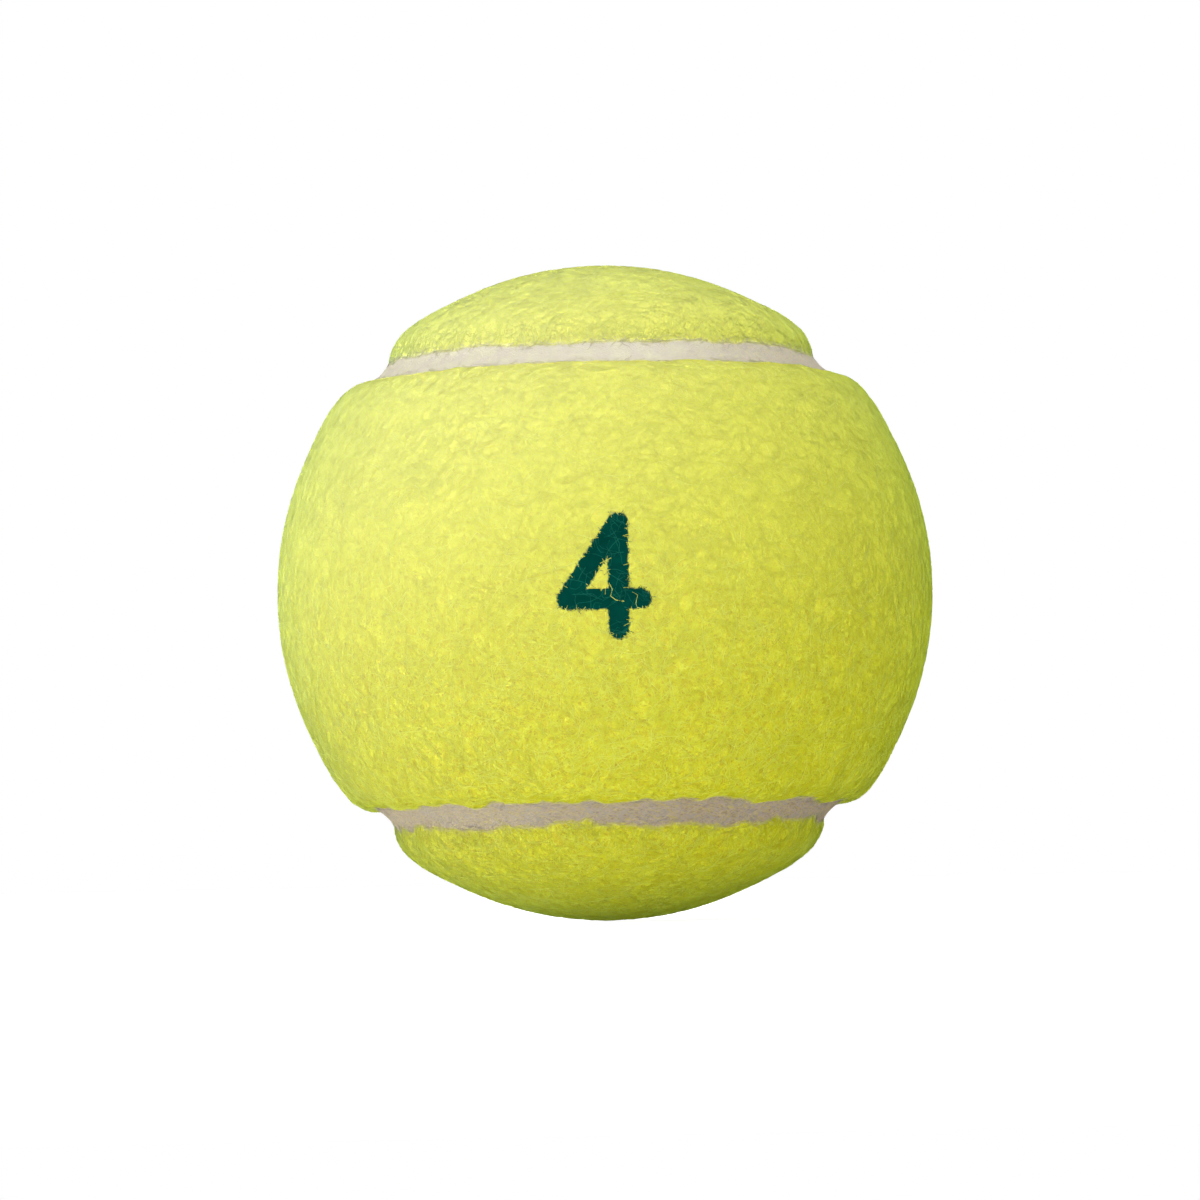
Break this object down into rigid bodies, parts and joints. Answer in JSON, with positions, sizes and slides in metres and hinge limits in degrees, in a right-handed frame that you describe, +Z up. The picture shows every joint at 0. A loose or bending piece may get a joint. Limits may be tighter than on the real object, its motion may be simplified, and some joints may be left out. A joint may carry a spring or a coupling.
{
  "type": "tennis ball",
  "caption": "Hollow rubber ball for racket play, its core joined from half shells and covered with yellow felt panels that meet along an endless grooved rubber seam.",
  "frame": {"origin": "centre of the ball", "axes": "+Z up as the ball lies in the picture, +Y away from the viewer through the middle of the front panel's waist, so the seam turns about Z over the front half and about X over the back half"},
  "size_m": [0.066, 0.066, 0.066],
  "materials": {
    "felt": "raised woollen nap, matt, bright lemon yellow",
    "seam_rubber": "matt, pale grey",
    "shell_rubber": "matt, moulded, with ground rims",
    "cement": "dried rubber solution, satin, pale amber"
  },
  "bodies": {
    "root": {"upper_half_shell": "shell_rubber", "lower_half_shell": "shell_rubber", "shell_joint_cement": "cement", "front_panel_cement": "cement", "back_panel_cement": "cement", "front_felt_panel": "felt", "back_felt_panel": "felt", "seam_rubber": "seam_rubber"}
  },
  "joints": []
}
